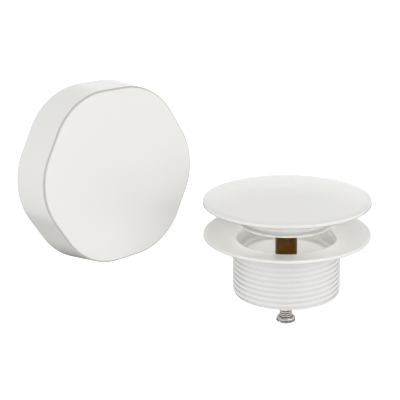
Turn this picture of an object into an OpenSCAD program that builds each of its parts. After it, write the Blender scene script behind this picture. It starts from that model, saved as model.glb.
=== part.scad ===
// Pop-up bath waste and overflow, with a lift-out plug and a six-sided turning knob.
// The origin is on the waste's axis, at the shoulder where the flange meets the threaded tail.
// The overflow faces -Y, and its axis leans back a little as the end wall of a bath does.

/* [Layout] */
// Sideways place of the overflow's axis
overflow_x = -54.6; // [-200:0.1:-50]
// Place of the wall face that the overflow is fixed to
overflow_y = 66.4; // [62:0.1:200]
// Height of the overflow's axis at the wall face
overflow_z = 31; // [0:0.5:400]
// Lean of the overflow's axis above level
overflow_lean = 2.8; // [0:0.1:10]

/* [Waste flange] */
// Outside diameter of the flange
flange_d = 73.2; // [70:0.1:90]
// Thickness of the flange's edge
flange_edge_t = 1.5; // [1.2:0.1:2.5]
// Height of the flange's edge above the shoulder on the tail
flange_h = 4.2; // [4:0.1:6]
// Drop of the flange's face from its edge to the bowl's lip
flange_dish = 2.55; // [1:0.05:3]
// Width of the flat land under the flange's edge
land_w = 2.8; // [1:0.1:5]
// Diameter of the bowl's lip
lip_d = 43.9; // [43.4:0.1:45]
// Rounding of the bowl's lip
lip_r = 0.8; // [0.2:0.1:1]

/* [Waste tail] */
// Outside diameter of the tail, over the crests of its inch-and-a-half pipe thread
tail_d = 47.8; // [47.2:0.1:50]
// Length of the tail below the shoulder
tail_l = 23.4; // [20:0.1:40]
// Diameter of the tail's bore
bore_d = 39.8; // [36:0.1:40.6]
// Chamfer on the tail's end
tail_chamfer = 1; // [0.4:0.1:1.5]

/* [Guide cross] */
// Number of arms that carry the guide hub
cross_arms = 4; // [3:1:6]
// Thickness of an arm
cross_arm_t = 2.6; // [2:0.1:4]
// Depth of an arm
cross_arm_h = 6; // [4:0.5:8]
// Diameter of the guide hub
hub_d = 16.4; // [15.6:0.1:20]
// Length of the guide hub
hub_l = 10; // [8:0.5:12]
// Wall of the bush in the guide hub
bush_wall = 1.65; // [1:0.05:2]
// Thickness of the bush's collar
bush_collar_t = 1; // [0.6:0.1:2]

/* [Plug cap] */
// Diameter of the cap
cap_d = 73; // [70:0.1:90]
// Height of the cap's upright edge
cap_edge_h = 1.6; // [1:0.1:3]
// Rise of the cap's dome above its edge
cap_rise = 5; // [2:0.1:8]
// Wall of the cap
cap_wall = 2.2; // [1.6:0.1:3]
// Rounding of the cap's edge
cap_edge_r = 0.4; // [0.1:0.05:0.5]
// Gap under the cap when the waste is open
open_gap = 13.45; // [8:0.05:16]
// Gap left under the cap when the waste is shut
shut_gap = 0.85; // [0.5:0.05:2]

/* [Plug body and seal] */
// Diameter of the seal's lip
seal_d = 41.6; // [39:0.1:41.7]
// Thickness of the seal
seal_t = 2; // [1.5:0.1:3]
// Drop of the seal's lower face below the cap's edge
seal_drop = 9.35; // [8:0.05:12]
// Diameter of the disc above the seal
disc_d = 40.4; // [36:0.1:41]
// Diameter of the spigot that the seal fits round
seal_bore_d = 31; // [26:0.5:34]
// Diameter of the washer that holds the seal
washer_d = 34; // [33:0.5:36]
// Thickness of the washer that holds the seal
washer_t = 1.2; // [0.8:0.1:2]

/* [Stem and height screw] */
// Diameter of the brass stem
stem_d = 9.6; // [9:0.1:12]
// Lowest point of the brass stem, below the shoulder
stem_drop = 26; // [24.5:0.5:34]
// Diameter of the stem's upper thread
stem_spigot_d = 8; // [7:0.5:8]
// Width across the stem's spanner flats
stem_flats = 8.4; // [8:0.1:9]
// Diameter of the height screw's thread
screw_d = 5.9; // [5:0.1:6]
// Depth of the height screw's head below the shoulder
screw_head_drop = 37; // [35:0.5:50]
// Diameter of the height screw's head
screw_head_d = 8.7; // [8:0.1:9]
// Height of the height screw's head
screw_head_h = 2.1; // [1.8:0.1:3]

/* [Knob] */
// Width across the knob's flats at its back
knob_af = 78; // [74:0.5:100]
// Rounding of the knob's six corners at its back
knob_corner_r = 29.8; // [27:0.1:31]
// How much narrower each side is at the front
knob_taper = 1.8; // [0.5:0.1:2.5]
// Depth of the knob
knob_depth = 18.5; // [17:0.1:30]
// Rounding of the knob's front edge
knob_edge_r = 0.9; // [0.3:0.1:1.4]
// Wall of the knob's sides
knob_wall = 2.4; // [1.8:0.1:3]
// Thickness of the knob's face
knob_face_t = 3; // [2:0.1:4]
// Gap between the knob and the wall, where the water goes in
knob_gap = 3; // [2:0.1:8]
// Thickness of the ribs behind the knob's face
knob_rib_t = 1.6; // [1:0.1:3]
// Depth of the ribs behind the knob's face
knob_rib_h = 6; // [3:0.5:7]
// Diameter of the boss behind the knob's face
knob_boss_d = 20; // [18:0.5:26]

/* [Drive] */
// Diameter of the spindle's journal
spindle_d = 10; // [9:0.1:12]
// Number of teeth on the spindle's head
spline_teeth = 18; // [12:1:24]
// Height of a tooth
spline_h = 0.5; // [0.3:0.05:0.8]
// Wall of the toothed socket in the knob
socket_wall = 1.4; // [1:0.1:2]
// Width of the square end that drives the cable
drive_af = 7; // [5:0.1:7]
// Length of the square end
drive_l = 7; // [5:0.5:15]
// Diameter of the grub screw
grub_d = 4; // [3:0.5:5]

/* [Faceplate] */
// Diameter of the faceplate
plate_d = 60; // [58:0.5:64]
// Thickness of the faceplate
plate_t = 2.5; // [2:0.1:4]
// Thickness of the gasket behind the faceplate
gasket_t = 1.5; // [1:0.1:3]
// Outside diameter of the ring that centres the faceplate in the wall
ring_d = 51; // [50:0.5:53]
// Depth of that ring behind the wall face
ring_h = 5; // [3:0.5:8]
// Diameter over the water ports
ports_d = 46; // [42:0.5:47]
// Width of the bars between the ports
port_bar_w = 10; // [9:0.5:12]
// Distance between the two fixing screws
fixing_pitch = 36; // [34:0.5:38]
// Diameter of the fixing screws
fixing_d = 5; // [4:0.5:5]
// Length of the fixing screws under their heads
fixing_l = 18; // [12:1:30]
// Diameter of the neck that keeps a fixing screw captive in the plate
fixing_neck_d = 4; // [3:0.1:4]

/* [Clearances] */
// Gap all round a turning or sliding fit
running = 0.06; // [0.03:0.01:0.1]
// Gap all round a part that is screwed or pushed in
seated = 0.02; // [0.01:0.01:0.05]
// Gap between a soft lip and what it closes on
soft = 0.3; // [0.2:0.05:0.5]

/* [Hidden] */
$fn = 96;

enamel = "#ecebe7";
white_plastic = "#e6e5e0";
raw_brass = "#b08d4f";
chrome = "#c9cbce";
acetal = "#dcd9cf";
silicone = "#e4e3dd";
rubber = "#2b2b2c";
steel = "#a9acb0";

// How far one form reaches into the form it is joined to, and how far a cut passes a face
bite = 0.5;
past = 1;
// Gap between two faces that stop short of each other
face_gap = 0.1;

// Heights on the waste's axis, from the shoulder up
cap_z = flange_h + open_gap;
travel = open_gap - shut_gap;
lip_z = flange_h - flange_dish;
seal_z = cap_z - seal_drop;
washer_z = seal_z - washer_t;
seat_z = seal_z - travel - soft;
hub_z = -tail_l + 0.5;
hub_top = hub_z + hub_l;
arm_z = hub_z + 1;

// Flange: its rounded edge, and the wall and seat of its bowl
flange_edge_r = 0.4;
bowl_r = seal_d / 2 + soft;
bowl_wall_h = seal_t + 2;
seat_fall = 1.4;
shoulder_w = 1.6;

// Cap: the centre of its dome is on the axis, below it
cap_r = cap_d / 2;
cap_top = cap_edge_h + cap_rise;
dome_r = (pow(cap_r, 2) + pow(cap_rise, 2)) / (2 * cap_rise);
dome_c = cap_top - dome_r;
cap_land_w = 2.6;
cap_ring_r = 17;
cap_ring_wall = 3;
boss_r = 7;
boss_drop = 3.5;
stem_top = cap_z + 3.3;

// Plug body: heights from the cap's edge, and the groove for the stem's ring
body_top = 2.5;
body_flare_top = -2.5;
body_flare_low = -5;
spigot_bore_r = stem_spigot_d / 2 + 0.2;
groove_w = 2.1;
groove_h = 1.95;
oring_r = 0.95;

// Seal: its rounded tip, and the groove above its lip
seal_tip = 0.2;
seal_lip_t = 0.75;
seal_lip_root_t = 1;
seal_lip_w = 1.8;
seal_neck_w = 2.2;

// Stem and height screw
flats_h = 4;
flats_drop = 0.6;
screw_hole_l = 16;
screw_in_l = 12;
head_round = 0.6;
head_step_w = 1;
head_step_h = 0.5;
slot_w = 1;
slot_h = 1;

// Overflow: heights from the wall face out
knob_z = knob_gap;
knob_front = knob_gap + knob_depth;
knob_face_back = knob_front - knob_face_t;
knob_rib_z = knob_face_back - knob_rib_h;
knob_slope = knob_taper / knob_depth;
knob_edge_steps = 4;
corner_c = (knob_af / 2 - knob_corner_r) / cos(30);
plate_z = gasket_t;
plate_top = plate_z + plate_t;
plate_chamfer = 0.6;
plate_boss_wall = 1.6;
plate_boss_h = 2.5;
plate_boss_top = plate_top + plate_boss_h;
port_web = 2.4;

// Bushes: the one in the guide hub and the one round the spindle are alike
bush_collar_w = 1.2;
guide_r = stem_d / 2 + running + bush_wall;
spindle_bush_r = spindle_d / 2 + running + bush_wall;
plate_boss_r = spindle_bush_r + plate_boss_wall;

// Spindle: its collar, toothed head and snap ring, and the socket that takes the head
thrust_z = plate_boss_top + bush_collar_t;
thrust_t = 0.6;
thrust_w = 2.5;
spindle_collar_z = thrust_z + thrust_t;
spindle_collar_t = 1.2;
spindle_collar_w = 2;
head_z = spindle_collar_z + spindle_collar_t;
head_top = knob_face_back - 1;
socket_z = head_z + 0.2;
socket_h = knob_face_back - socket_z - 0.6;
socket_r = spindle_d / 2 + spline_h + seated + socket_wall;
grub_z = (socket_z + head_top) / 2;
grub_tip = spindle_d / 2 + spline_h + face_gap;
grub_l = knob_boss_d / 2 - grub_tip - 0.3;
grub_key_af = 2.3;
clip_t = 0.8;
clip_z = -ring_h - 0.5 - clip_t;
clip_groove_w = 0.8;
clip_w = 2;
clip_gap = 3;
square_z = clip_z - 1;

// Fixing screws
fixing_head_r = fixing_d * 0.9;
fixing_head_h = fixing_d * 0.5;
fixing_head_round = 0.9;
fixing_hole_d = fixing_d + 0.4;
fixing_neck_l = plate_t + 4;
recess_l = 4.4;
recess_w = 1;
recess_h = 1.3;

function arc(x, y, r, from, to, steps = 6) =
    [for (i = [0:steps]) let (a = from + (to - from) * i / steps) [x + r * cos(a), y + r * sin(a)]];

module ring(od, id, h) {
    difference() {
        cylinder(d = od, h = h);
        translate([0, 0, -past]) cylinder(d = id, h = h + 2 * past);
    }
}

module at_overflow() {
    translate([overflow_x, overflow_y, overflow_z])
        rotate([90 - overflow_lean, 0, 0])
            children();
}

// A collared bush from one height to another, standing on the axis
module bush(bore_r, low, high) {
    difference() {
        union() {
            translate([0, 0, low]) cylinder(r = bore_r + bush_wall, h = high - low);
            translate([0, 0, high]) cylinder(r = bore_r + bush_wall + bush_collar_w, h = bush_collar_t);
        }
        translate([0, 0, low - past]) cylinder(r = bore_r, h = high - low + bush_collar_t + 2 * past);
    }
}

// The flange, bowl and tail as one turned section, with the guide cross cast inside the tail
module waste_flange() {
    r = flange_d / 2;
    low = flange_h - flange_edge_t;
    color(enamel) difference() {
        union() {
            rotate_extrude() polygon(concat(
                arc(r - flange_edge_r, low + flange_edge_r, flange_edge_r, -90, 0, 3),
                arc(r - flange_edge_r, flange_h - flange_edge_r, flange_edge_r, 0, 90, 3),
                arc(lip_d / 2 + lip_r, lip_z - lip_r, lip_r, 100, 180),
                [
                    [bowl_r, seat_z + bowl_wall_h],
                    [bowl_r, seat_z],
                    [bore_d / 2, seat_z - seat_fall],
                    [bore_d / 2, -tail_l],
                    [tail_d / 2 - tail_chamfer, -tail_l],
                    [tail_d / 2, -tail_l + tail_chamfer],
                    [tail_d / 2, 0],
                    [tail_d / 2 + shoulder_w, 0],
                    [r - land_w, low]
                ]
            ));
            translate([0, 0, hub_z]) cylinder(d = hub_d, h = hub_l);
            for (i = [0:cross_arms - 1])
                rotate(45 + 360 * i / cross_arms)
                    translate([0, -cross_arm_t / 2, arm_z])
                        cube([bore_d / 2 + bite, cross_arm_t, cross_arm_h]);
        }
        translate([0, 0, hub_z - past]) cylinder(r = guide_r, h = hub_l + 2 * past);
    }
}

module guide_bush() {
    color(acetal) bush(stem_d / 2 + running, hub_z, hub_top);
}

// The cap's section is its dome over an upright rounded edge, less a hollow one wall in from the dome
module cap_section() {
    edge_x = cap_r - cap_edge_r;
    difference() {
        intersection() {
            translate([0, dome_c]) circle(r = dome_r, $fn = 720);
            polygon(concat(
                [[0, 0]],
                arc(edge_x, cap_edge_r, cap_edge_r, -90, 0, 4),
                arc(edge_x, cap_edge_h - face_gap, cap_edge_r, 0, 60, 4),
                [[cap_r - cap_rise, cap_top], [0, cap_top]]
            ));
        }
        intersection() {
            translate([0, dome_c]) circle(r = dome_r - cap_wall, $fn = 720);
            translate([-past, -past]) square([cap_r - cap_land_w + past, cap_top + past]);
        }
    }
}

module plug_cap() {
    color(enamel) translate([0, 0, cap_z]) difference() {
        union() {
            rotate_extrude() cap_section();
            intersection() {
                union() {
                    translate([0, 0, -boss_drop]) cylinder(r = boss_r, h = boss_drop + cap_rise);
                    translate([0, 0, body_top])
                        ring(2 * cap_ring_r, 2 * (cap_ring_r - cap_ring_wall), cap_rise);
                }
                translate([0, 0, dome_c]) sphere(r = dome_r - cap_wall / 2);
            }
        }
        translate([0, 0, -boss_drop - past])
            cylinder(d = stem_spigot_d + 2 * seated, h = boss_drop + body_top + 2 * past);
    }
}

module plug_body() {
    bore_r = boss_r + seated;
    step_z = -boss_drop - face_gap;
    seal_top = -seal_drop + seal_t;
    groove_r = spigot_bore_r + groove_w;
    groove_top = -seal_drop + groove_h;
    color(white_plastic) translate([0, 0, cap_z]) rotate_extrude() polygon([
        [bore_r, body_top],
        [cap_ring_r, body_top],
        [cap_ring_r, body_flare_top],
        [disc_d / 2, body_flare_low],
        [disc_d / 2, seal_top],
        [seal_bore_d / 2, seal_top],
        [seal_bore_d / 2, -seal_drop],
        [groove_r, -seal_drop],
        [groove_r, groove_top],
        [spigot_bore_r, groove_top],
        [spigot_bore_r, step_z],
        [bore_r, step_z]
    ]);
}

module plug_seal() {
    r = seal_d / 2;
    color(silicone) translate([0, 0, seal_z]) rotate_extrude() polygon([
        [seal_bore_d / 2, 0],
        [r - seal_tip, 0],
        [r, seal_tip],
        [r, seal_lip_t],
        [r - seal_lip_w, seal_lip_root_t],
        [r - seal_neck_w, seal_t],
        [seal_bore_d / 2, seal_t]
    ]);
}

module seal_washer() {
    color(steel) translate([0, 0, washer_z])
        ring(washer_d, stem_spigot_d + 2 * seated, washer_t);
}

module stem_oring() {
    color(rubber) translate([0, 0, seal_z + oring_r + seated]) rotate_extrude()
        translate([stem_spigot_d / 2 + face_gap + oring_r, 0]) circle(r = oring_r);
}

module plug_stem() {
    color(raw_brass) difference() {
        union() {
            translate([0, 0, -stem_drop]) cylinder(d = stem_d, h = stem_drop + washer_z);
            translate([0, 0, washer_z - bite]) cylinder(d = stem_spigot_d, h = stem_top - washer_z + bite);
        }
        for (s = [0, 180])
            rotate(s)
                translate([stem_flats / 2, -stem_d, washer_z - flats_drop - flats_h])
                    cube([stem_d, 2 * stem_d, flats_h]);
        translate([0, 0, -stem_drop - past]) cylinder(d = screw_d + 2 * seated, h = screw_hole_l + past);
    }
}

module height_screw() {
    r = screw_head_d / 2;
    neck_r = r - head_step_w;
    color(chrome) translate([0, 0, -screw_head_drop]) difference() {
        union() {
            cylinder(d = screw_d, h = screw_head_drop - stem_drop + screw_in_l);
            rotate_extrude() polygon(concat(
                [[0, head_step_h], [neck_r, head_step_h], [neck_r, 0]],
                arc(r - head_round, -head_round, head_round, 90, 0, 4),
                arc(r - head_round, -screw_head_h + head_round, head_round, 0, -90, 4),
                [[0, -screw_head_h]]
            ));
        }
        translate([-r, -slot_w / 2, -screw_head_h - past]) cube([2 * r, slot_w, slot_h + past]);
    }
}

// One level of a soft six-sided form: six discs whose hull is the outline
module corner_discs(r1, r2, z, h) {
    for (i = [0:5])
        rotate(60 * i)
            translate([corner_c, 0, z])
                cylinder(r1 = r1, r2 = r2, h = h, $fn = 72);
}

// The knob's tapering form from low to high, moved in by inset, with its front edge rounded
module knob_form(inset, low, high, edge) {
    r_at = function(z) knob_corner_r - inset - knob_slope * (z - knob_z);
    slice = 0.02;
    hull() {
        corner_discs(r_at(low), r_at(high - edge), low, high - edge - low);
        if (edge > 0)
            for (i = [1:knob_edge_steps])
                let (
                    a = 90 * i / knob_edge_steps,
                    r = r_at(high) - edge * (1 - cos(a)),
                    z = high - edge * (1 - sin(a))
                )
                    corner_discs(r, r, z - slice, slice);
    }
}

module knob_shell() {
    rib_r = corner_c + knob_corner_r - knob_taper - knob_wall + 1;
    color(enamel) at_overflow() difference() {
        union() {
            difference() {
                knob_form(0, knob_z, knob_front, knob_edge_r);
                knob_form(knob_wall, knob_z - past, knob_face_back, 0);
            }
            translate([0, 0, socket_z]) cylinder(d = knob_boss_d, h = knob_face_back - socket_z + bite);
            for (i = [0:5])
                rotate(60 * i)
                    translate([knob_boss_d / 2 - bite, -knob_rib_t / 2, knob_rib_z])
                        cube([rib_r - knob_boss_d / 2 + bite, knob_rib_t, knob_rib_h + bite]);
        }
        translate([0, 0, socket_z - past])
            cylinder(r = socket_r, h = knob_face_back - socket_z + past - face_gap);
        translate([0, 0, grub_z]) rotate([90, 0, 0]) cylinder(d = grub_d + 2 * seated, h = knob_boss_d);
        translate([0, -knob_af / 4, grub_z]) rotate([90, 0, 0]) cylinder(d = grub_d + 1, h = knob_af / 2);
    }
}

// A round form with straight-sided teeth, as a closed outline
module serration(r, tooth_h, count) {
    polygon([
        for (i = [0:2 * count - 1])
            let (rr = i % 2 == 0 ? r : r + tooth_h, a = 180 * i / count)
                [rr * cos(a), rr * sin(a)]
    ]);
}

module knob_socket() {
    color(raw_brass) at_overflow() difference() {
        translate([0, 0, socket_z]) cylinder(r = socket_r, h = socket_h);
        translate([0, 0, socket_z - past]) linear_extrude(socket_h + 2 * past)
            serration(spindle_d / 2 + seated, spline_h + seated, spline_teeth);
        translate([0, 0, grub_z]) rotate([90, 0, 0]) cylinder(d = grub_d + 2 * seated, h = knob_boss_d);
    }
}

module knob_grub_screw() {
    key_depth = 2;
    color(steel) at_overflow() translate([0, -grub_tip, grub_z]) rotate([90, 0, 0]) difference() {
        cylinder(d = grub_d, h = grub_l);
        translate([0, 0, grub_l - key_depth]) cylinder(d = grub_key_af, h = key_depth + past, $fn = 6);
    }
}

module drive_spindle() {
    color(raw_brass) at_overflow() difference() {
        union() {
            translate([0, 0, head_z - bite]) linear_extrude(head_top - head_z + bite)
                serration(spindle_d / 2, spline_h, spline_teeth);
            translate([0, 0, spindle_collar_z])
                cylinder(d = spindle_d + 2 * spindle_collar_w, h = spindle_collar_t);
            translate([0, 0, square_z]) cylinder(d = spindle_d, h = head_z - square_z);
            translate([-drive_af / 2, -drive_af / 2, square_z - drive_l])
                cube([drive_af, drive_af, drive_l + bite]);
        }
        translate([0, 0, clip_z]) ring(spindle_d + 2 * past, spindle_d - 2 * clip_groove_w, clip_t);
    }
}

module thrust_washer() {
    color(acetal) at_overflow() translate([0, 0, thrust_z])
        ring(spindle_d + 2 * thrust_w, spindle_d + 2 * running, thrust_t);
}

// A snap ring with a gap at one side
module spindle_clip() {
    color(steel) at_overflow() difference() {
        translate([0, 0, clip_z + seated])
            ring(spindle_d + 2 * clip_w, spindle_d - 2 * clip_groove_w + 2 * seated, clip_t - 2 * seated);
        translate([0, -clip_gap / 2, clip_z - past]) cube([spindle_d, clip_gap, clip_t + 2 * past]);
    }
}

// A round plate with a locating ring and a bearing boss behind it, and water ports between its bars
module overflow_faceplate() {
    r = plate_d / 2;
    boss_top = ring_h + plate_boss_top;
    color(acetal) at_overflow() difference() {
        union() {
            translate([0, 0, plate_z]) cylinder(r = r, h = plate_t - plate_chamfer);
            translate([0, 0, plate_top - plate_chamfer])
                cylinder(r1 = r, r2 = r - plate_chamfer, h = plate_chamfer);
            translate([0, 0, -ring_h]) cylinder(d = ring_d, h = ring_h + plate_z + bite);
            translate([0, 0, -ring_h]) cylinder(r = plate_boss_r, h = boss_top);
        }
        difference() {
            translate([0, 0, -ring_h - past]) cylinder(d = ports_d, h = ring_h + plate_z + past);
            translate([0, 0, -ring_h - 2 * past]) cylinder(r = plate_boss_r, h = boss_top);
        }
        translate([0, 0, -ring_h - past]) linear_extrude(ring_h + plate_top + 2 * past) difference() {
            circle(d = ports_d);
            circle(r = plate_boss_r + port_web);
            square([ports_d + past, port_bar_w], center = true);
            square([port_bar_w, ports_d + past], center = true);
        }
        translate([0, 0, -ring_h - past]) cylinder(r = spindle_bush_r, h = boss_top + 2 * past);
        for (s = [-1, 1])
            translate([s * fixing_pitch / 2, 0, 0]) cylinder(d = fixing_hole_d, h = plate_top + past);
    }
}

module spindle_bush() {
    color(acetal) at_overflow() bush(spindle_d / 2 + running, -ring_h, plate_boss_top);
}

module faceplate_gasket() {
    color(rubber) at_overflow() ring(plate_d, ring_d, gasket_t);
}

module fixing_screw() {
    difference() {
        union() {
            translate([0, 0, plate_top - fixing_l]) cylinder(d = fixing_d, h = fixing_l - fixing_neck_l);
            translate([0, 0, plate_top - fixing_neck_l - bite])
                cylinder(d = fixing_neck_d, h = fixing_neck_l + 2 * bite);
            translate([0, 0, plate_top]) rotate_extrude() polygon(concat(
                [[0, 0], [fixing_head_r, 0]],
                arc(
                    fixing_head_r - fixing_head_round, fixing_head_h - fixing_head_round,
                    fixing_head_round, 0, 90
                ),
                [[0, fixing_head_h]]
            ));
        }
        for (a = [0, 90])
            rotate(a)
                translate([-recess_l / 2, -recess_w / 2, plate_top + fixing_head_h - recess_h])
                    cube([recess_l, recess_w, recess_h + past]);
    }
}

module faceplate_screws() {
    color(steel) at_overflow()
        for (s = [-1, 1])
            translate([s * fixing_pitch / 2, 0, 0]) fixing_screw();
}

waste_flange();
guide_bush();
plug_cap();
plug_body();
plug_seal();
seal_washer();
plug_stem();
stem_oring();
height_screw();
knob_shell();
knob_socket();
knob_grub_screw();
drive_spindle();
thrust_washer();
spindle_clip();
overflow_faceplate();
spindle_bush();
faceplate_gasket();
faceplate_screws();
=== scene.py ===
"""Looks of a pop-up bath waste and its overflow knob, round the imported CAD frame.

The waste stands on the origin with its axis up. The overflow's axis leans a little above -Y.
Sizes are in millimetres here, and meshes are made in metres.
"""
import math

import bmesh
import bpy
from mathutils import Matrix, Vector


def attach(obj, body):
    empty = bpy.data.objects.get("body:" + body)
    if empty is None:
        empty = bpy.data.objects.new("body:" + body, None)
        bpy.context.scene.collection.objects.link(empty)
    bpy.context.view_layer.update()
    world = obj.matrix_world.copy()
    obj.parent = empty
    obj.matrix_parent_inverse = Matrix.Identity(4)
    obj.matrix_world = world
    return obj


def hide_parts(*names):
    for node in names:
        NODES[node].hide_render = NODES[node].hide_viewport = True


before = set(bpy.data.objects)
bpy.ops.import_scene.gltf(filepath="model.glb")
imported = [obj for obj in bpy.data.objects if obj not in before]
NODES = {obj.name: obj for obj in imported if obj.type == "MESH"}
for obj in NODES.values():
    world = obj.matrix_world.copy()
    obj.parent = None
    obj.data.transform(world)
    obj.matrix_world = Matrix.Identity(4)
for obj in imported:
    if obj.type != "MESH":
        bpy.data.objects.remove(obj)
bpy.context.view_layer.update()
MM = 0.001
TAU = 2 * math.pi

# Sizes shared with the CAD part
OVERFLOW = Matrix.Translation((-54.6 * MM, 66.4 * MM, 31 * MM)) @ Matrix.Rotation(math.radians(90 - 2.8), 4, "X")
WASTE = Matrix.Identity(4)
PITCH = 2.309                     # of the inch-and-a-half pipe thread
CAP_Z = 17.65                     # height of the cap's lower edge
DOME_R, DOME_C = 135.725, -129.125   # radius of the cap's dome, and height of its centre from that edge
CAP_WALL = 2.2
SEAL_Z = 8.3                      # height of the seal's lower face
HUB_R, HUB_BORE = 8.2, 6.51       # guide hub in the tail
KNOB_C, KNOB_R = 10.623, 29.8     # distance of the corner centres, and corner radius at the back
KNOB_Z, KNOB_TOP = 3.0, 21.5      # back and front of the knob on the overflow's axis
KNOB_SLOPE = 1.8 / 18.5           # how the knob narrows towards its front
KNOB_WALL = 2.4

# Shapes that are the script's own
MAJOR, MINOR = 23.9, 23.5         # crest and root radius of the tail's thread
KNOB_EDGE = 0.9                   # rounding of the knob's front edge
WASTE_SIDES, KNOB_SIDES, SCREW_SIDES, FIXING_SIDES = 240, 360, 72, 64
HEAD_R, HEAD_Z, HEAD_H = 4.35, -37.0, 2.1   # head of the height screw


# Mesh helpers
def arc(x, y, r, a0, a1, n=8):
    """Points on an arc in a profile, in degrees."""
    turns = [math.radians(a0 + (a1 - a0) * i / n) for i in range(n + 1)]
    return [(x + r * math.cos(a), y + r * math.sin(a)) for a in turns]


def loft(rings):
    """Vertices and quads through rings of equally many points. A ring of one point closes an end."""
    verts, faces, starts = [], [], []
    for r in rings:
        starts.append(len(verts))
        verts.extend(r)
    for k in range(len(rings) - 1):
        a, b = starts[k], starts[k + 1]
        na, nb = len(rings[k]), len(rings[k + 1])
        n = max(na, nb)
        for i in range(n):
            j = (i + 1) % n
            if na == 1:
                faces.append((a, b + j, b + i))
            elif nb == 1:
                faces.append((a + i, a + j, b))
            else:
                faces.append((a + i, a + j, b + j, b + i))
    return verts, faces


def ring(r, z, n, wobble=None):
    """A ring of n points of radius r, or of wobble(angle), at height z. Radius 0 gives one point."""
    if wobble is None and r < 1e-6:
        return [(0.0, 0.0, z)]
    out = []
    for i in range(n):
        a = TAU * i / n
        radius = wobble(a) if wobble else r
        out.append((radius * math.cos(a), radius * math.sin(a), z))
    return out


def dense(points, step):
    """The profile's points with long runs divided."""
    out = [points[0]]
    for p, q in zip(points, points[1:]):
        n = max(1, math.ceil(math.dist(p, q) / step))
        out += [(p[0] + (q[0] - p[0]) * i / n, p[1] + (q[1] - p[1]) * i / n) for i in range(1, n + 1)]
    return out


def softened(points, radius, n=4):
    """A closed profile with each corner rounded, but those on the axis and those that hardly turn."""
    out = []
    m = len(points)
    for i in range(m):
        p0, p, p1 = (Vector(points[(i + k) % m]) for k in (-1, 0, 1))
        a, b = p0 - p, p1 - p
        on_axis = a.length < 1e-9 or b.length < 1e-9 or abs(p.x) < 1e-6
        if on_axis or a.angle(b) > math.radians(172):
            out.append(tuple(p))
            continue
        ang = a.angle(b)
        t = min(radius / math.tan(ang / 2), 0.45 * a.length, 0.45 * b.length)
        s, e = p + a.normalized() * t, p + b.normalized() * t
        for k in range(n + 1):
            u = k / n
            out.append(tuple((1 - u) ** 2 * s + 2 * u * (1 - u) * p + u * u * e))
    return out


def lathe(points, n, closed=True):
    """A turned form from a profile of (radius, height), which is closed on itself or ends on the axis."""
    pts = list(points) + ([points[0]] if closed else [])
    return loft([ring(r, z, n) for r, z in pts])


def joined(*parts):
    """Several (verts, faces) as one."""
    verts, faces = [], []
    for v, f in parts:
        k = len(verts)
        verts += v
        faces += [tuple(i + k for i in face) for face in f]
    return verts, faces


def thread(s):
    """0 in the root and 1 on the crest of a thread with rounded crests and roots, for a place s in turns."""
    return 0.5 + 0.5 * math.cos(TAU * s)


def thread_rings(major, minor, pitch, z0, z1, n, rows, run=1.0, full=1.0):
    """Rings along a right-handed thread. A low full widens the crests.

    Over the length run it starts from the crests' radius, and ends near the roots'.
    """
    out = []
    for k in range(rows + 1):
        z = z0 + (z1 - z0) * k / rows
        first = min(1.0, abs(z - z0) / run)
        last = min(1.0, abs(z - z1) / run)

        def wall(a, z=z, first=first, last=last):
            r = minor + (major - minor) * thread(z / pitch - a / TAU) ** full
            r = major - (major - r) * first
            return min(r, minor + (major - minor) * (0.35 + 0.65 * last))
        out.append(ring(0, z, n, wall))
    return out


def block(x0, x1, y0, y1, z0, z1, angle=0.0, bevel=0.0):
    """A box, with its edges bevelled where a bevel is given, turned about the axis."""
    bm = bmesh.new()
    bmesh.ops.create_cube(bm, size=1)
    for v in bm.verts:
        v.co = [(lo + hi) / 2 + c * (hi - lo) for c, lo, hi in zip(v.co, (x0, y0, z0), (x1, y1, z1))]
    if bevel:
        bmesh.ops.bevel(bm, geom=list(bm.edges), offset=bevel, segments=3, affect="EDGES", profile=0.5)
    bm.transform(Matrix.Rotation(angle, 4, "Z"))
    bm.verts.ensure_lookup_table()
    out = [tuple(v.co) for v in bm.verts], [tuple(v.index for v in f.verts) for f in bm.faces]
    bm.free()
    return out


def linked(name, data):
    """A new object in the scene."""
    o = bpy.data.objects.new(name, data)
    bpy.context.scene.collection.objects.link(o)
    return o


def mesh(name, form):
    """A mesh in metres from (verts, faces) in millimetres, with its seams joined and its normals outward."""
    me = bpy.data.meshes.new(name)
    me.from_pydata([tuple(c * MM for c in v) for v in form[0]], [], form[1])
    me.validate()
    bm = bmesh.new()
    bm.from_mesh(me)
    bmesh.ops.remove_doubles(bm, verts=bm.verts, dist=1e-7)
    bmesh.ops.recalc_face_normals(bm, faces=bm.faces)
    bm.to_mesh(me)
    bm.free()
    return me


def piece(name, form, place, body, material, nodes, crease=32, cutters=(), painted_shade=None):
    """Makes a finished piece, riding on its body and standing for its CAD nodes.

    Its mask gives, for a point in millimetres in the piece's own frame, how far its colour passes into a dark one:
    painted shade and painted dark reflections.
    """
    me = mesh(name, form)
    if painted_shade:
        marks = me.attributes.new("painted_shade", "FLOAT", "POINT")
        for i, v in enumerate(me.vertices):
            marks.data[i].value = painted_shade(v.co / MM)
    me.transform(place)
    o = linked(name, me)
    for c in cutters:
        m = o.modifiers.new("cut", "BOOLEAN")
        m.operation, m.solver, m.object = "DIFFERENCE", "EXACT", c
    if cutters:
        bpy.context.view_layer.update()
        done = bpy.data.meshes.new_from_object(o.evaluated_get(bpy.context.evaluated_depsgraph_get()))
        o.modifiers.clear()
        o.data = me = done
        for c in cutters:
            bpy.data.objects.remove(c)
    me.materials.clear()
    me.materials.append(material)
    me.shade_smooth()
    me.set_sharp_from_angle(angle=math.radians(crease))
    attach(o, body)
    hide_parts(*nodes)
    return o


def cutter(form, place):
    """A tool for a cut, which piece removes when the cut is made."""
    me = mesh("cutter", form)
    me.transform(place)
    return linked("cutter", me)


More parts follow.
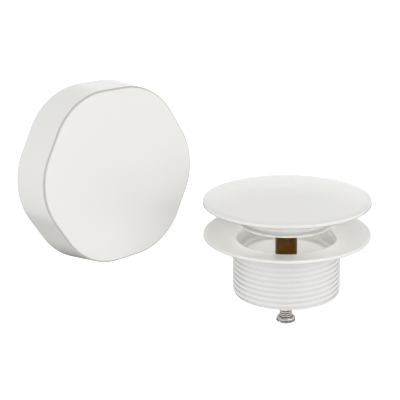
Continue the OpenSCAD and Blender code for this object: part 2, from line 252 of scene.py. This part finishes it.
# Materials
def material(name, colour, roughness, metallic=0.0, coat=0.0, coat_rough=0.03):
    """A plain material, its nodes and links, and its Principled shader."""
    m = bpy.data.materials.new(name)
    m.use_nodes = True
    b = m.node_tree.nodes["Principled BSDF"]
    b.inputs["Base Color"].default_value = (*colour, 1)
    b.inputs["Roughness"].default_value = roughness
    b.inputs["Metallic"].default_value = metallic
    b.inputs["Coat Weight"].default_value = coat
    b.inputs["Coat Roughness"].default_value = coat_rough
    return m, m.node_tree.nodes, m.node_tree.links, b


def object_noise(nodes, links, scale, detail=3.0, rough=0.55, stretch=None, signed=False):
    """Noise in object space, in metres, so that it stays with its piece. Signed noise has no clipped peaks."""
    src = nodes.new("ShaderNodeTexCoord").outputs["Object"]
    if stretch:
        mp = nodes.new("ShaderNodeMapping")
        mp.inputs["Scale"].default_value = stretch
        links.new(src, mp.inputs["Vector"])
        src = mp.outputs["Vector"]
    n = nodes.new("ShaderNodeTexNoise")
    n.normalize = not signed
    n.inputs["Scale"].default_value = scale
    n.inputs["Detail"].default_value = detail
    n.inputs["Roughness"].default_value = rough
    links.new(src, n.inputs["Vector"])
    return n.outputs["Fac"]


def ramp(nodes, links, fac, stops):
    """Colours, or greys given as one number, that change with fac at the stops."""
    r = nodes.new("ShaderNodeValToRGB")
    el = r.color_ramp.elements
    while len(el) < len(stops):
        el.new(0.5)
    for e, (at, c) in zip(el, stops):
        e.position = at
        e.color = (*c, 1) if isinstance(c, tuple) else (c, c, c, 1)
    links.new(fac, r.inputs["Fac"])
    return r.outputs["Color"]


def bump(nodes, links, b, height, strength, distance):
    n = nodes.new("ShaderNodeBump")
    n.inputs["Strength"].default_value = strength
    n.inputs["Distance"].default_value = distance
    links.new(height, n.inputs["Height"])
    links.new(n.outputs["Normal"], b.inputs["Normal"])


# Sockets of the Mix node when it mixes colours
MIX_FACTOR, MIX_A, MIX_B, MIX_RESULT = 0, 6, 7, 2


def mix_painted_shade(nodes, links, shade, other):
    """The colour given as shade, passing into another colour where the piece's mask holds painted shade and painted
    dark reflections.
    """
    painted_shade = nodes.new("ShaderNodeAttribute")
    painted_shade.attribute_name = "painted_shade"
    mix = nodes.new("ShaderNodeMix")
    mix.data_type = "RGBA"
    links.new(painted_shade.outputs["Fac"], mix.inputs[MIX_FACTOR])
    links.new(shade, mix.inputs[MIX_A])
    mix.inputs[MIX_B].default_value = (*other, 1)
    return mix.outputs[MIX_RESULT]


def make_enamel(name, colour, edge, metallic=0.0, coat=0.8, coat_rough=0.07, rough=(0.20, 0.26)):
    """Stoved enamel: a faint ripple, a shade that hardly drifts, and the edge colour as painted shade and painted dark
    reflections where the piece's mask holds them.
    """
    m, n, l, b = material(name, colour, sum(rough) / 2, metallic=metallic, coat=coat, coat_rough=coat_rough)
    b.inputs["IOR"].default_value = 1.6
    b.inputs["Coat IOR"].default_value = 1.6
    lo, hi = [tuple(c * k for c in colour) for k in (0.988, 1.006)]
    drift = ramp(n, l, object_noise(n, l, 30, 2), [(0.3, lo), (0.7, hi)])
    l.new(mix_painted_shade(n, l, drift, edge), b.inputs["Base Color"])
    l.new(ramp(n, l, object_noise(n, l, 60, 2), [(0.3, rough[0]), (0.7, rough[1])]), b.inputs["Roughness"])
    bump(n, l, b, object_noise(n, l, 160, 1, signed=True), 0.05, 0.0001)
    return m


def make_moulded(name, colour, roughness, grain=1800, strength=0.25, specular=0.5):
    """A moulded or cast surface with a fine grain."""
    m, n, l, b = material(name, colour, roughness)
    b.inputs["Specular IOR Level"].default_value = specular
    lo, hi = [tuple(c * k for c in colour) for k in (0.95, 1.03)]
    l.new(ramp(n, l, object_noise(n, l, 120, 4), [(0.3, lo), (0.7, hi)]), b.inputs["Base Color"])
    gloss = [(0.3, roughness * 0.88), (0.7, roughness * 1.12)]
    l.new(ramp(n, l, object_noise(n, l, 260, 3), gloss), b.inputs["Roughness"])
    bump(n, l, b, object_noise(n, l, grain, 2, signed=True), strength, 0.00003)
    return m


def make_turned(name, dark, light, roughness, strength=0.35, stain=None, axis="Z", painted_shade_colour=None):
    """A turned metal: fine tool lines round its axis, drifting tarnish, and a dark colour as painted shade and painted
    dark reflections where the piece's mask holds them.
    """
    m, n, l, b = material(name, light, roughness, metallic=1.0)
    stretch = {"Z": (0.06, 0.06, 1), "Y": (0.06, 1, 0.06)}[axis]
    tool = object_noise(n, l, 2600, 2, 0.5, stretch)
    tarnish = object_noise(n, l, 210, 5, 0.62)
    mixed = n.new("ShaderNodeMath")
    mixed.operation = "MULTIPLY_ADD"
    mixed.inputs[1].default_value = 0.35
    l.new(tool, mixed.inputs[0])
    l.new(tarnish, mixed.inputs[2])
    stops = [(0.45, dark), (0.85, light)] if stain is None else [(0.4, stain), (0.56, dark), (0.86, light)]
    shade = ramp(n, l, mixed.outputs[0], stops)
    l.new(mix_painted_shade(n, l, shade, painted_shade_colour) if painted_shade_colour else shade, b.inputs["Base Color"])
    l.new(ramp(n, l, tool, [(0.3, roughness * 0.75), (0.75, roughness * 1.35)]), b.inputs["Roughness"])
    bump(n, l, b, tool, strength, 0.00002)
    return m


# Enamel: glossy on the knob and cap, duller on the flange and thin over metal on the threaded tail. The guide hub
# and its arms in the tail have a thin dull coat
# Dark colour of the painted shade and painted dark reflections along the enamel's edges
PAINTED_EDGE_SHADE = (0.30, 0.27, 0.22)
ENAMEL = make_enamel("white_enamel", (0.90, 0.892, 0.860), PAINTED_EDGE_SHADE)
# The flange's enamel is a little lighter than the cap's. This is painted light against the shade under the cap
FLANGE = make_enamel("white_enamel_flange", (0.945, 0.937, 0.905), PAINTED_EDGE_SHADE, coat=0.5, coat_rough=0.34, rough=(0.30, 0.36))
TAIL = make_enamel("white_on_metal", (0.865, 0.86, 0.845), PAINTED_EDGE_SHADE, metallic=0.33, coat=0.3, coat_rough=0.3,
                   rough=(0.285, 0.31))
CASTING = make_moulded("thinly_coated_casting", (0.34, 0.335, 0.32), 0.42, grain=1500, strength=0.2)

# Plastics and rubber
WHITE = make_moulded("white_moulding", (0.94, 0.94, 0.92), 0.23, strength=0.08)
SILICONE = make_moulded("pale_silicone", (0.88, 0.88, 0.86), 0.36, grain=900, strength=0.1)
ACETAL = make_moulded("acetal", (0.62, 0.61, 0.57), 0.42, strength=0.15)
RUBBER = make_moulded("black_rubber", (0.022, 0.022, 0.023), 0.6, grain=1400, strength=0.3, specular=0.35)

# Bare metals. Axis Y is for the overflow's pieces, whose axis is close to it
# The stem's brass is about a third as light as the fittings' brass. This is painted shade for its place under the cap,
# and its stain is tarnish
DARKENED_BRASS = make_turned("raw_brass", (0.115, 0.052, 0.009), (0.165, 0.082, 0.016), 0.38, stain=(0.085, 0.038, 0.008))
BRASS_Y = make_turned("raw_brass_fittings", (0.34, 0.20, 0.06), (0.52, 0.34, 0.11), 0.38, stain=(0.24, 0.13, 0.04),
                      axis="Y")
# Its near-black second colour paints shade and dark reflections on the height screw
CHROME = make_turned("chrome_plate", (0.50, 0.48, 0.46), (0.66, 0.64, 0.62), 0.09, strength=0.05,
                     painted_shade_colour=(0.02, 0.018, 0.015))
STEEL = make_turned("bright_steel", (0.46, 0.46, 0.46), (0.60, 0.60, 0.59), 0.38, axis="Y")
STEEL_Z = make_turned("bright_steel_washer", (0.46, 0.46, 0.46), (0.60, 0.60, 0.59), 0.38)

# The one CAD node that no finished piece stands for
NODES["stem_oring"].data.materials.clear()
NODES["stem_oring"].data.materials.append(RUBBER)


# Waste flange, with its helical thread
inside = [(22.4, -23.4), (20.2, -23.4)] + arc(20.2, -23.1, 0.3, -90, -180, 4)
inside += [(19.9, -6.0), (21.1, -4.6), (21.1, -0.6)]
face = arc(22.75, 0.85, 0.8, 180, 100, 10) + dense([(22.9, 1.655), (35.7, 4.135)], 1.2)
edge = arc(36.2, 3.8, 0.4, 100, 0, 8) + arc(36.2, 3.1, 0.4, 0, -90, 8)
back = [(33.8, 2.7), (25.9, 0.25), (25.5, 0.0), (24.2, 0.0)]
rings = [ring(r, z, WASTE_SIDES) for r, z in dense(inside, 1.5) + face + edge + back]
rings += thread_rings(MAJOR, MINOR, PITCH, -0.05, -23.35, WASTE_SIDES, 200)
rings.append(rings[0])
parts = [loft(rings)]
parts.append(lathe(softened([(HUB_R, -22.9), (HUB_R, -12.9), (HUB_BORE, -12.9), (HUB_BORE, -22.9)], 0.35), 96))
for i in range(4):
    parts.append(block(HUB_R - 0.6, 20.2, -1.3, 1.3, -21.9, -15.9, math.radians(45 + 90 * i), 0.35))


def arris(r0, z0, strength, shade=0.0):
    """Painted shade and a painted dark reflection round a lower edge centred at (r0, z0), and faint painted shade on
    top towards the rim.
    """
    def painted_shade(p):
        r = math.hypot(p.x, p.y)
        if r < r0 - 6:
            return 0.0
        a = math.degrees(math.atan2(p.z - z0, r - r0))
        near = math.exp(-((math.hypot(r - r0, p.z - z0) - 0.4) / 0.14) ** 2)
        low = strength * near * math.exp(-((a + 52) / 36) ** 2)
        return low + (shade * math.exp(-((r - r0) / 1.7) ** 2) if p.z > z0 + 1.2 else 0.0)
    return painted_shade


cast = piece("waste_flange_cast", joined(*parts), WASTE, "root", FLANGE, ["waste_flange"], crease=75,
             painted_shade=arris(36.2, 3.1, 0.7))
cast.data.materials.append(TAIL)
cast.data.materials.append(CASTING)
for poly in cast.data.polygons:
    r, z = math.hypot(poly.center.x, poly.center.y) / MM, poly.center.z / MM
    if z < -0.02 and r > 22.2:        # outside of the tail
        poly.material_index = 1
    elif z < -11.5 and r < 19.6:      # guide hub and arms
        poly.material_index = 2


# Plug cap. Heights in its profile are from its lower edge
def dome(r, wall=0.0):
    """Height of the dome's face, or of its hollow when the wall is given."""
    return DOME_C + math.sqrt((DOME_R - wall) ** 2 - r * r)


def hollow(*radii):
    return [(r, dome(r, CAP_WALL)) for r in radii]


profile = [(r, dome(r)) for r in (36.02 * math.sin(k / 40 * math.pi / 2) for k in range(41))]
profile += [(36.3, 1.62), (36.43, 1.52), (36.5, 1.38), (36.5, 0.9)] + arc(36.1, 0.4, 0.4, 0, -90, 8)
profile += [(34.4, 0)] + arc(34.1, 0.2, 0.2, -90, -180, 4)
profile += [(33.9, dome(33.9, CAP_WALL) - 0.4)] + hollow(33.5, 30, 26, 22, 19, 17.5)
profile += [(17.0, dome(17, CAP_WALL) - 0.5), (17.0, 2.7), (16.8, 2.5)]
profile += [(14.2, 2.5), (14.0, 2.7), (14.0, dome(14, CAP_WALL) - 0.5)] + hollow(13.5, 11, 9, 7.5)
profile += [(7.0, dome(7, CAP_WALL) - 0.5), (7.0, -3.2), (6.7, -3.5)]
profile += [(4.3, -3.5), (4.02, -3.2), (4.02, 3.5), (0, 3.5)]
piece("plug_cap_turned", lathe([(r, CAP_Z + z) for r, z in profile], WASTE_SIDES, closed=False), WASTE, "plug",
      ENAMEL, ["plug_cap"], painted_shade=arris(36.1, CAP_Z + 0.4, 1.0, 0.1))


# Knob shell
def hexagon(angle, r):
    """Radius at an angle of the soft six-sided outline whose corners are rounded to r."""
    t = abs((angle + math.pi / 6) % (math.pi / 3) - math.pi / 6)
    flat = KNOB_C * math.cos(math.pi / 6) + r
    turn = math.atan2(r * math.sin(math.pi / 6), KNOB_C + r * math.cos(math.pi / 6))
    if t < turn:
        return KNOB_C * math.cos(t) + math.sqrt(max(0.0, r * r - (KNOB_C * math.sin(t)) ** 2))
    return flat / math.cos(math.pi / 6 - t)


def knob_ring(z, inset):
    """The outline at a height, drawn in by the inset."""
    r = KNOB_R - KNOB_SLOPE * (z - KNOB_Z) - inset
    return ring(0, z, KNOB_SIDES, lambda a: hexagon(a, r))


rim = knob_ring(KNOB_TOP, KNOB_EDGE)
rings = [[(0.0, 0.0, KNOB_TOP)]]
for k in (0.05, 0.2, 0.4, 0.6, 0.8, 0.92):
    rings.append([(x * k, y * k, z) for x, y, z in rim])
for k in range(11):
    a = math.radians(90 - 9 * k)
    rings.append(knob_ring(KNOB_TOP - KNOB_EDGE * (1 - math.sin(a)), KNOB_EDGE * (1 - math.cos(a))))
side_top, side_low, back_r = KNOB_TOP - KNOB_EDGE, KNOB_Z + 0.3, 0.3
for k in range(1, 13):
    rings.append(knob_ring(side_top - (side_top - side_low) * k / 12, 0))
for a in map(math.radians, (30, 60, 90)):
    rings.append(knob_ring(side_low - back_r * math.sin(a), back_r * (1 - math.cos(a))))
for a in map(math.radians, (0, 30, 60, 90)):
    rings.append(knob_ring(side_low - back_r * math.cos(a), KNOB_WALL - back_r * (1 - math.sin(a))))
for k in range(1, 9):
    rings.append(knob_ring(side_low + (18.0 - side_low) * k / 8, KNOB_WALL))
rings.append(knob_ring(18.5, KNOB_WALL + 0.5))
for r, z in ((10.6, 18.5), (10.15, 18.35), (10.0, 17.9), (10.0, 9.8), (9.7, 9.5), (7.2, 9.5), (6.92, 9.75),
             (6.92, 18.4), (0, 18.4)):
    rings.append(ring(r, z, KNOB_SIDES))
parts = [loft(rings)]
for i in range(6):
    parts.append(block(9.5, KNOB_C + KNOB_R - 3.2, -0.8, 0.8, 12.5, 19.0, math.radians(60 * i), 0.3))

# The grub screw's hole in the boss, and the key's hole in the wall
tool = lathe([(0, 0), (2.02, 0), (2.02, 15), (0, 15)], 48, closed=False)
wide = lathe([(0, 19.5), (2.5, 19.5), (2.5, 58), (0, 58)], 48, closed=False)
place = OVERFLOW @ Matrix.Translation((0, 0, 13.5 * MM)) @ Matrix.Rotation(math.pi / 2, 4, "X")


def knob_painted_edge(p):
    """A painted dark reflection along the middle of the front edge."""
    rise = (p.z - side_top) / KNOB_EDGE
    if not 0 < rise < 0.995:
        return 0.0
    return 0.68 * math.exp(-((math.degrees(math.asin(rise)) - 42) / 32) ** 2)


piece("knob_shell_cast", joined(*parts), OVERFLOW, "knob", ENAMEL, ["knob_shell"],
      cutters=[cutter(tool, place), cutter(wide, place)], painted_shade=knob_painted_edge)


# Plug body, seal, stem and height screw
# Heights in the plug body's profile are from the cap's lower edge, and in the seal's from its lower face
body = [(7.02, 2.5), (17, 2.5), (17, -2.5), (20.2, -5), (20.2, -7.35), (15.5, -7.35), (15.5, -9.35), (6.3, -9.35),
        (6.3, -7.4), (4.2, -7.4), (4.2, -3.6), (7.02, -3.6)]
piece("plug_body_moulded", lathe([(r, z + CAP_Z) for r, z in softened(body, 0.3)], 160), WASTE, "plug",
      WHITE, ["plug_body"])
seal = [(15.5, 0), (20.6, 0), (20.8, 0.2), (20.8, 0.75), (19.0, 1.0), (18.6, 2.0), (15.5, 2.0)]
piece("plug_seal_moulded", lathe([(r, z + SEAL_Z) for r, z in softened(seal, 0.15)], 200), WASTE, "plug",
      SILICONE, ["plug_seal"])

stem = [(0, 20.95), (3.6, 20.95), (4.0, 20.55), (4.0, 7.1), (4.5, 7.1), (4.8, 6.8), (4.8, -25.6), (4.4, -26),
        (3.2, -26), (2.97, -25.7), (2.97, -10), (0, -10)]
flats = [cutter(block(s * 6.2 - 2, s * 6.2 + 2, -9, 9, 2.5, 6.5, bevel=0.15), WASTE) for s in (-1, 1)]
piece("plug_stem_turned", lathe(dense(stem, 2.5), 128, closed=False), WASTE, "plug", DARKENED_BRASS, ["plug_stem"],
      cutters=flats)

outline = [(1.5, -HEAD_H)] + arc(HEAD_R - 0.6, -HEAD_H + 0.6, 0.6, -90, -8, 8) + [(HEAD_R - 0.09, -1.05)]
outline += arc(HEAD_R - 0.6, -0.6, 0.6, 8, 90, 8) + [(3.52, 0.0), (3.4, 0.06), (3.35, 0.18)]
outline += arc(3.1, 0.25, 0.25, 0, 90, 4) + [(2.75, 0.5), (2.55, 0.56)]
rows = [[(0.0, 0.0, HEAD_Z - HEAD_H)]] + [ring(r, HEAD_Z + z, SCREW_SIDES) for r, z in outline]
rows += thread_rings(2.95, 2.42, 1.0, HEAD_Z + 0.62, -20.0, SCREW_SIDES, 200, run=0.5, full=0.5)
rows += [ring(r, z, SCREW_SIDES) for r, z in ((2.9, -19.9), (2.9, -14.3), (2.6, -14))] + [[(0.0, 0.0, -14.0)]]
slot = cutter(block(-6, 6, -0.5, 0.5, HEAD_Z - HEAD_H - 1, HEAD_Z - HEAD_H + 1), WASTE)


def screw_painted_shade(p):
    """Painted shade in the thread's roots and under the neck, and painted dark reflections along the head's middle and
    lower edge.
    """
    z = p.z - HEAD_Z
    r = math.hypot(p.x, p.y)
    if z > 0.6:
        return min(1.0, max(0.0, (2.9 - r) / 0.45)) ** 1.5
    if r <= 2.0:
        return 0.0
    lines = ((0.32, 0.2, 1.0), (-1.05, 0.16, 0.8), (0.16 - HEAD_H, 0.26, 1.0))   # height, width and strength
    return min(1.0, sum(dark * math.exp(-((z - at) / width) ** 2) for at, width, dark in lines))


piece("height_screw_turned", loft(rows), WASTE, "plug", CHROME, ["height_screw"], crease=60,
      cutters=[slot], painted_shade=screw_painted_shade)


# Fixing screws: cross-slotted round heads, a plain neck and a threaded end
def fixing_screw():
    under_head = 4.0
    head = [(0.0, 2.5), (1.2, 2.5), (2.4, 2.48)] + arc(3.6, 1.6, 0.9, 88, 0, 8) + [(4.5, 0.15), (4.35, 0), (2.05, 0)]
    rows = [ring(r, under_head + z, FIXING_SIDES) for r, z in head]
    rows += [ring(r, z, FIXING_SIDES) for r, z in ((2.0, 3.8), (2.0, 0.0), (2.0, -2.3), (2.3, -2.5))]
    rows += thread_rings(2.5, 2.05, 0.8, -2.52, -13.7, FIXING_SIDES, 150, run=0.5)
    return loft(rows + [ring(1.9, -14.0, FIXING_SIDES), ring(0.0, -14.0, FIXING_SIDES)])


def shifted(form, x):
    return [(vx + x, vy, vz) for vx, vy, vz in form[0]], form[1]


cross = [cutter(shifted(block(-w, w, -d, d, 5.2, 8), x), OVERFLOW)
         for x in (-18, 18) for w, d in ((2.2, 0.5), (0.5, 2.2))]
piece("faceplate_screws_cut", joined(shifted(fixing_screw(), -18), shifted(fixing_screw(), 18)), OVERFLOW, "root",
      STEEL, ["faceplate_screws"], crease=60, cutters=cross)


# Hidden and small parts
def edges_broken(node, body, material, width):
    """The CAD node's form with its sharp edges bevelled by a width in millimetres."""
    me = NODES[node].data.copy()
    bm = bmesh.new()
    bm.from_mesh(me)
    bmesh.ops.remove_doubles(bm, verts=bm.verts, dist=2e-6)
    bmesh.ops.dissolve_limit(bm, angle_limit=math.radians(0.6), verts=bm.verts, edges=bm.edges)
    sharp = [e for e in bm.edges if len(e.link_faces) == 2 and e.calc_face_angle(0) > math.radians(30)]
    bmesh.ops.bevel(bm, geom=sharp, offset=width * MM, segments=2, profile=0.5, affect="EDGES", clamp_overlap=True)
    bmesh.ops.triangulate(bm, faces=[f for f in bm.faces if len(f.verts) > 4])
    bm.to_mesh(me)
    bm.free()
    new = linked(node + "_finished", me)
    me.materials.clear()
    me.materials.append(material)
    me.shade_smooth()
    me.set_sharp_from_angle(angle=math.radians(28))
    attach(new, body)
    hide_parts(node)


edges_broken("overflow_faceplate", "root", ACETAL, 0.22)
edges_broken("faceplate_gasket", "root", RUBBER, 0.2)
edges_broken("spindle_bush", "root", ACETAL, 0.12)
edges_broken("guide_bush", "root", ACETAL, 0.12)
edges_broken("knob_socket", "knob", BRASS_Y, 0.08)
edges_broken("drive_spindle", "knob", BRASS_Y, 0.12)
edges_broken("thrust_washer", "knob", ACETAL, 0.08)
edges_broken("spindle_clip", "knob", STEEL, 0.1)
edges_broken("knob_grub_screw", "knob", STEEL, 0.12)
edges_broken("seal_washer", "plug", STEEL_Z, 0.15)


# Floor: pale, lifted to white for the camera with its shadow kept, and seen through from below
FLOOR_Z, FLOOR_SIZE, FLOOR_LIFT = -0.09, 6, 0.64


def floor_material():
    m = bpy.data.materials.new("pale_floor")
    m.use_nodes = True
    n, l = m.node_tree.nodes, m.node_tree.links
    n.clear()
    out = n.new("ShaderNodeOutputMaterial")
    diffuse = n.new("ShaderNodeBsdfDiffuse")
    diffuse.inputs["Color"].default_value = (0.85, 0.85, 0.85, 1)
    glow = n.new("ShaderNodeEmission")
    glow.inputs["Color"].default_value = (1, 1, 1, 1)
    glow.inputs["Strength"].default_value = FLOOR_LIFT
    add = n.new("ShaderNodeAddShader")
    l.new(diffuse.outputs[0], add.inputs[0])
    l.new(glow.outputs[0], add.inputs[1])
    path = n.new("ShaderNodeLightPath")
    mix = n.new("ShaderNodeMixShader")
    l.new(path.outputs["Is Camera Ray"], mix.inputs[0])
    l.new(diffuse.outputs[0], mix.inputs[1])
    l.new(add.outputs[0], mix.inputs[2])
    below = n.new("ShaderNodeMixShader")
    l.new(n.new("ShaderNodeNewGeometry").outputs["Backfacing"], below.inputs[0])
    l.new(mix.outputs[0], below.inputs[1])
    l.new(n.new("ShaderNodeBsdfTransparent").outputs[0], below.inputs[2])
    l.new(below.outputs[0], out.inputs[0])
    return m


me = bpy.data.meshes.new("floor")
corners = [(x * FLOOR_SIZE, y * FLOOR_SIZE, FLOOR_Z) for x, y in ((-1, -1), (1, -1), (1, 1), (-1, 1))]
me.from_pydata(corners, [], [(0, 1, 2, 3)])
floor = linked("floor", me)
me.materials.append(floor_material())
floor.visible_glossy = False

# World. Its directions are told by height, from 0 straight down to 1 straight up, and by facing, from 0 at the
# far end to 1 on the photographer's side
FRONT = Vector((-0.653, -0.757, 0.0))
AMBIENT = 0.615
world = bpy.data.worlds.new("studio")
bpy.context.scene.world = world
world.use_nodes = True
n, l = world.node_tree.nodes, world.node_tree.links


def node_math(op, *values):
    m = n.new("ShaderNodeMath")
    m.operation = op
    for i, v in enumerate(values):
        if isinstance(v, float):
            m.inputs[i].default_value = v
        else:
            l.new(v, m.inputs[i])
    return m.outputs[0]


def blend(kind, factor, first, second):
    """Two colours mixed by a factor, or multiplied."""
    m = n.new("ShaderNodeMix")
    m.data_type, m.blend_type = "RGBA", kind
    if isinstance(factor, float):
        m.inputs[MIX_FACTOR].default_value = factor
    else:
        l.new(factor, m.inputs[MIX_FACTOR])
    l.new(first, m.inputs[MIX_A])
    l.new(second, m.inputs[MIX_B])
    return m.outputs[MIX_RESULT]


direction = n.new("ShaderNodeTexCoord").outputs["Generated"]
split = n.new("ShaderNodeSeparateXYZ")
l.new(direction, split.inputs[0])
height = node_math("MULTIPLY_ADD", split.outputs["Z"], 0.5, 0.5)
dot = n.new("ShaderNodeVectorMath")
dot.operation = "DOT_PRODUCT"
dot.inputs[1].default_value = FRONT
l.new(direction, dot.inputs[0])
facing = node_math("MULTIPLY_ADD", dot.outputs["Value"], 0.5, 0.5)

# What only gloss shows: a white room, dark low down at its far end, with a dark flag that hangs on the
# photographer's side below eye level. It dims towards the ground and the ceiling.
FLAG = [(0.935, 1.0), (0.970, 0.06)]
low = ramp(n, l, facing, [(0.0, 0.05), (0.2, 0.3), (0.305, 0.35), (0.33, 0.95)] + FLAG)
high = node_math("MAXIMUM", ramp(n, l, facing, FLAG), ramp(n, l, height, [(0.50, 0.0), (0.58, 1.0)]))
sides = blend("MIX", ramp(n, l, height, [(0.358, 0.0), (0.374, 1.0)]), low, high)
fall = ramp(n, l, height, [(0.0, 0.7), (0.42, 0.95), (0.62, 1.0), (0.74, 0.8), (0.92, 0.6)])
room = blend("MULTIPLY", 1.0, sides, fall)

# What lights the matt share of the surfaces: even all round, weaker from below and from straight above
soft = n["Background"]
even = ramp(n, l, height, [(0.0, 0.62), (0.49, 0.7), (0.57, 1.0), (0.9, 1.0), (0.97, 0.55)])
l.new(even, soft.inputs["Color"])
soft.inputs["Strength"].default_value = AMBIENT
gloss = n.new("ShaderNodeBackground")
l.new(room, gloss.inputs["Color"])
gloss.inputs["Strength"].default_value = 1.0
white = n.new("ShaderNodeBackground")
white.inputs["Color"].default_value = (1, 1, 1, 1)
white.inputs["Strength"].default_value = 1.0
path = n.new("ShaderNodeLightPath")
shown = soft
for ray, instead in (("Is Glossy Ray", gloss), ("Is Camera Ray", white)):
    mix = n.new("ShaderNodeMixShader")
    l.new(path.outputs[ray], mix.inputs[0])
    l.new(shown.outputs[0], mix.inputs[1])
    l.new(instead.outputs[0], mix.inputs[2])
    shown = mix
l.new(shown.outputs[0], n["World Output"].inputs[0])

# Lamps, which don't show in gloss
CENTRE = Vector((-0.02, 0.02, 0.005))
CAMERA_AZIMUTH = 227.3


def lamp(name, shape, size, watts):
    light = bpy.data.lights.new(name, "AREA")
    light.shape, light.size, light.energy = shape, size, watts
    o = linked(name, light)
    o.visible_glossy = False
    return o


# Azimuth from the camera's own and elevation in degrees, distance and size in metres, and watts
for name, azimuth, elevation, distance, size, watts in (
        ("left", -56, 26, 0.9, 0.6, 0.75), ("right", 52, 24, 0.9, 0.6, 1.05),
        ("front", 4, 21, 0.9, 0.35, 1.45), ("top", 70, 69, 1.0, 0.8, 1.45)):
    a, e = math.radians(CAMERA_AZIMUTH + azimuth), math.radians(elevation)
    at = CENTRE + distance * Vector((math.cos(a) * math.cos(e), math.sin(a) * math.cos(e), math.sin(e)))
    box = lamp(name, "SQUARE", size, watts)
    box.location = at
    box.rotation_euler = (CENTRE - at).to_track_quat("-Z", "Y").to_euler()

# A small panel close under the waste, facing up, which lights the bowl through the tail
under = lamp("under", "DISK", 0.034, 0.029)
under.data.spread = math.radians(30)
under.location = (0, 0, -0.044)
under.rotation_euler = (math.pi, 0, 0)
under.visible_camera = False

# Camera, fitted to the photograph's outlines
FOCAL_PX, FRAME_PX = 849.92, 400
cam_data = bpy.data.cameras.new("camera")
cam = linked("camera", cam_data)
cam_data.sensor_fit, cam_data.sensor_width = "HORIZONTAL", 36
cam_data.lens = cam_data.sensor_width * FOCAL_PX / FRAME_PX
cam_data.clip_start, cam_data.clip_end = 0.01, 30
forward = Vector((0.6224, 0.7216, -0.3030)).normalized()
right = forward.cross(Vector((0, 0, 1))).normalized()
up = right.cross(forward)
roll = math.radians(-1.535)
x_axis = math.cos(roll) * right + math.sin(roll) * up
y_axis = -math.sin(roll) * right + math.cos(roll) * up
turn = Matrix((x_axis, y_axis, -forward)).transposed()
cam.matrix_world = Matrix.Translation((-0.2589, -0.2425, 0.1315)) @ turn.to_4x4()
bpy.context.scene.camera = cam
bpy.context.scene.view_settings.view_transform = "Standard"
